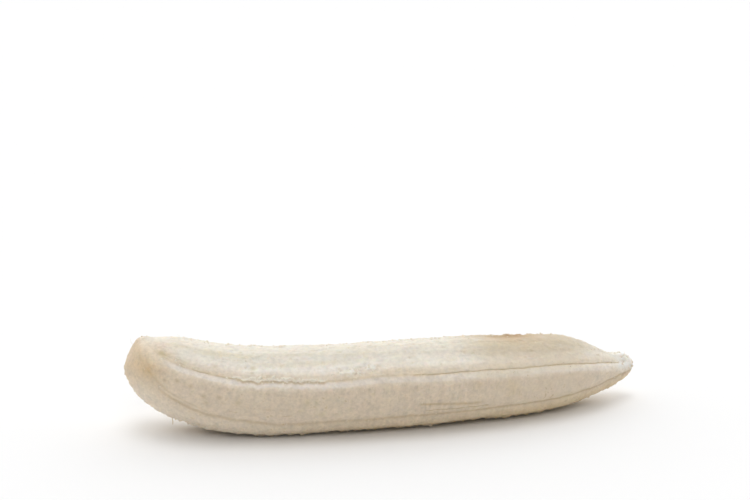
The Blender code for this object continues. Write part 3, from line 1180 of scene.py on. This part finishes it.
def lay_marks(skin):
    """The bruised stem end, the crumpled patch, single marks, specks and dimples."""
    share, upper, ribbed, mottling = skin.share, skin.upper, skin.ribbed, skin.mottling
    bruise = skin.spot(0.052, 7, 5.5, 4.5) * 0.5 + skin.spot(0.056, 9, 2.4, 2.2) * 0.4
    skin.lay(bruise * rise(mottling, -0.9, 0.2), BRUISE)
    crumple = skin.noise(skin.place, CRUMPLE_WAVES, 2, 0.6)
    crumpled = bump(skin.from_high - CRUMPLE_OFFSET / MM, 1.3) * within(share, *CRUMPLE_SPAN)
    skin.lay(rise(crumple, -0.05, 0.3) * crumpled * 0.8, CHALK)
    skin.lay(rise(crumple, -0.05, -0.4) * crumpled * 0.6, TAN)
    skin.lay(within(share, -0.1, 0.02, 0.05) * rise(skin.height, 0.6, -0.2) * 0.45, BRUISE)
    for place, degrees, length, width, strength, tint in MARKS:
        skin.lay(skin.spot(place, degrees, length, width) * strength, tint)
    specks = rise(skin.flecks, 0.24, 0.46) * rise(skin.clouds + mottling * 0.4, -0.25, 0.2)
    skin.lay(specks * (0.7 - upper * 0.4 - ribbed * 0.4), SPECK)
    hatching = rise(skin.noise(skin.straight * (1.0, 0.22, 0.22), 900, 2), 0.15, 0.5)
    skin.lay(hatching * ribbed * 0.4, DRAB)
    skin.lay(rise(skin.noise(skin.place, PIT_WAVES, 2), 0.18, 0.5) * 0.3, OLIVE)


def lay_lines(skin):
    """Brown lines in the creases (in the pocket under the torn lip partly painted shade), the pale
    lips beside them, and the tip.
    """
    share, from_low, from_high, clouds = skin.share, skin.from_low, skin.from_high, skin.clouds
    tear = within(share, *TORN_SPAN)
    high_line = bump(from_high, 0.52 - rise(share, 0.4, 0.6) * 0.2) * profile(share, HIGH_LINE)
    # Brown in the pocket under the torn lip: partly brown flesh, partly painted shade under the
    # overhang.
    torn_pocket_shade = bump(from_high + 0.2, 0.55) * tear * 0.85
    low_line = bump(from_low, 0.7 - rise(share, 0.4, 0.7) * 0.25) * profile(share, LOW_LINE)
    twin = bump(from_low - 1.7 + clouds * 0.8, 0.45) * within(share, 0.07, 0.15, 0.03) * 0.35
    side_line = bump(from_low - profile(share, SIDE_LINE) + clouds * 0.3, 0.55)
    side_line = side_line * within(share, 0.545, 0.64, 0.02) * 0.7
    dashes = bump(from_low - 6.3, 0.5) * within(share, 0.2, 0.3, 0.02)
    dashes = dashes * rise(skin.flecks, -0.1, 0.2) * 0.4
    line = bump(skin.attribute("from_crease"), 0.32) * 0.12
    for other in (high_line, torn_pocket_shade, low_line, twin, side_line, dashes):
        line = on("MAXIMUM", line, other)
    skin.lay(clamp(line + skin.cotton * line * 0.4) * 0.75, LINE_BROWN)
    skin.lay(bump(from_high - 0.7, 1.2) * within(share, 0.08, 0.95, 0.04) * 0.2, HONEY)
    lip = bump(from_high + 1.8, 1.1) * within(share, 0.1, 0.85, 0.1)
    skin.lay(lip * rise(skin.mottling, -0.5, 0.3) * 0.14, CHALK)
    skin.lay(bump(from_high - 0.6, 0.45) * tear * 0.5, CREAM)
    skin.lay(rise(share, 0.935, 0.965) * skin.upper * 0.7, CHALK)
    skin.lay(rise(share, 0.990, 0.999) * 0.35, DARK_TIP)


def flesh_finish():
    material = new_material("flesh_cream")
    skin = Skin(material.node_tree)
    for step in (lay_ground, lay_ripeness, lay_marks, lay_lines):
        step(skin)
    cotton, mottling, upper = skin.cotton, skin.mottling, skin.upper
    ribs = skin.noise(skin.straight * (1.0, 0.1, 0.1), 900, 2) * skin.ribbed
    shade = cotton * (0.17 - upper * 0.07) + skin.streaks * upper * 0.08 + ribs * 0.11
    shade = (mottling * 1.9 + skin.flecks * 1.8) * 0.085 + shade
    colour = skin.colour * (shade * skin.even + 1)
    relief = cotton * 0.06 + mottling * 0.06 + skin.streaks * 0.02 + ribs * 0.06
    bumps = skin.out("ShaderNodeBump", Height=relief, Distance=MM, Strength=1.0)
    shader = skin.node("ShaderNodeBsdfPrincipled", Base_Color=colour, Roughness=0.62,
                       Subsurface_Weight=0.3, Subsurface_Radius=(1.0, 0.6, 0.35),
                       Subsurface_Scale=0.003, Specular_IOR_Level=0.3, Normal=bumps)
    close_finish(skin, shader)
    return material


def plain_finish(name, colour_of, roughness, specular):
    """A matt finish whose colour comes from the graph."""
    material = new_material(name)
    graph = Graph(material.node_tree)
    shader = graph.node("ShaderNodeBsdfPrincipled", Base_Color=colour_of(graph),
                        Roughness=roughness, Specular_IOR_Level=specular)
    close_finish(graph, shader)
    return material


def string_colour(graph):
    place = graph.out("ShaderNodeTexCoord", None, "Object")
    shade = rise(graph.noise(place, 700, 2), -0.5, 0.5)
    return graph.blend(shade, (0.60, 0.47, 0.28, 1), (0.74, 0.64, 0.47, 1))


def crumb_colour(graph):
    """Pale, but ripe-coloured on the browner stretch of the flesh and tan low down."""
    place = graph.out("ShaderNodeTexCoord", None, "Object")
    along, _, height = graph.split(place)
    shade = rise(graph.noise(place, 300, 2), -0.4, 0.4)
    colour = graph.blend(shade, (0.91, 0.85, 0.73, 1), (0.82, 0.74, 0.60, 1))
    colour = graph.blend(within(along, 0.03, 0.068, 0.016) * 0.7, colour, RIPE)
    return graph.blend(rise(height, 0.024, 0.015) * 0.75, colour, TAN)


# ---------------- stage

FLOOR_HALF = 4.0
FLOOR_WHITE = (0.93, 0.93, 0.93, 1.0)
# The studio is a white tent, dark where the camera stands and brightest behind the object, as
# (depth of the direction, strength). Softboxes, as (name, tilt towards the camera, strength, spread).
TENT = ((-0.8, 0.05), (0.0, 0.75), (0.8, 1.35))
SOFTBOXES = (
    ("overhead_softbox", 0, 0.68, 35),
    ("front_softbox", 50, 0.68, 40),
)


def make_stage():
    data = bpy.data.meshes.new("floor")
    corners = [(x * FLOOR_HALF, y * FLOOR_HALF, 0) for x, y in ((-1, -1), (1, -1), (1, 1), (-1, 1))]
    data.from_pydata(corners, [], [(0, 1, 2, 3)])
    data.materials.append(plain_finish("studio_floor", lambda graph: FLOOR_WHITE, 0.9, 0.0))
    floor = add_object("floor", data)
    floor.location.z = FLESH_LOW.z

    world = bpy.data.worlds.new("studio")
    world.use_nodes = True
    world.node_tree.nodes["Background"].inputs["Color"].default_value = (1, 1, 1, 1)
    graph = Graph(world.node_tree)
    _, depth, _ = graph.split(graph.out("ShaderNodeTexCoord", None, "Generated"))
    graph.feed(world.node_tree.nodes["Background"].inputs["Strength"], profile(depth, TENT))
    bpy.context.scene.world = world

    for name, tilt, strength, spread in SOFTBOXES:
        data = bpy.data.lights.new(name, "SUN")
        data.energy = strength
        data.angle = math.radians(spread)
        softbox = add_object(name, data)
        softbox.rotation_euler = Euler((math.radians(tilt), 0, 0))


# Lens and film width in mm, where the camera stands round the flesh, and where it looks: aside
# from the flesh's middle, and over the floor.
CAMERA_LENS = 90
FILM_WIDTH = 36
CAMERA_TURN = math.radians(-11)
CAMERA_LIFT = math.radians(15)
CAMERA_DISTANCE = 0.6450
CAMERA_ASIDE = -0.00554
CAMERA_AIM = 0.06255


def make_camera():
    data = bpy.data.cameras.new("camera")
    data.lens = CAMERA_LENS
    data.sensor_width = FILM_WIDTH
    data.clip_start = 0.01
    camera = add_object("camera", data)
    middle = (FLESH_LOW + FLESH_HIGH) / 2
    look = Vector((middle.x + CAMERA_ASIDE, middle.y, FLESH_LOW.z + CAMERA_AIM))
    level = math.cos(CAMERA_LIFT)
    back = Vector((math.sin(CAMERA_TURN) * level, -math.cos(CAMERA_TURN) * level,
                   math.sin(CAMERA_LIFT)))
    camera.location = look + back * CAMERA_DISTANCE
    camera.rotation_euler = (-back).to_track_quat("-Z", "Y").to_euler()
    bpy.context.scene.camera = camera
    bpy.context.scene.view_settings.view_transform = "Standard"


def main():
    spine = spine_object()
    flesh = make_flesh(flesh_finish(), spine)
    bpy.data.objects.remove(spine, do_unlink=True)
    dried = plain_finish("dried_string", string_colour, 0.7, 0.25)
    scrap = plain_finish("cottony_crumb", crumb_colour, 0.75, 0.2)
    pieces = [
        flesh,
        make_strings(flesh, dried),
        make_crumbs(flesh, scrap),
        make_torn_edge(flesh, scrap),
        make_scuffs(flesh, scrap),
        make_fluff(flesh, scrap),
    ]
    for piece in pieces:
        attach(piece, BODY)
    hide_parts(FLESH_NODE)
    make_stage()
    make_camera()


main()
